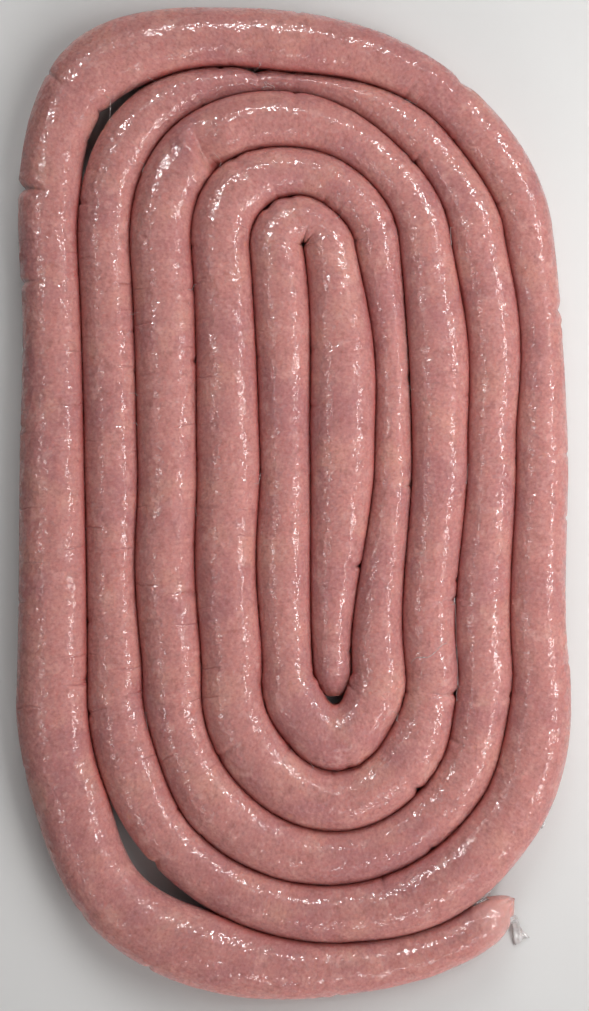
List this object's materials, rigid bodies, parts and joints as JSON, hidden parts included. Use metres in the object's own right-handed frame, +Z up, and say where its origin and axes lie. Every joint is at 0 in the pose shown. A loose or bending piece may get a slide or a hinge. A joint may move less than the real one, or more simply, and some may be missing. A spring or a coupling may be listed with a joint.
{
  "type": "coiled raw sausage rope",
  "caption": "Long unlinked rope of raw pork sausage in natural casing, coiled flat in an oval spiral, with a closed tip at the core and a tail of empty casing at the outer end.",
  "frame": {"origin": "centre of the footprint of the whole coil, on the surface it lies on", "axes": "+Y towards the back bends, the coil's long way; +X to the right; +Z up, the coil's thickness"},
  "size_m": [0.2906, 0.5196, 0.0304],
  "materials": {
    "raw_sausage": "wet, slightly translucent"
  },
  "bodies": {
    "root": {"sausage_rope": "raw_sausage"}
  },
  "joints": []
}
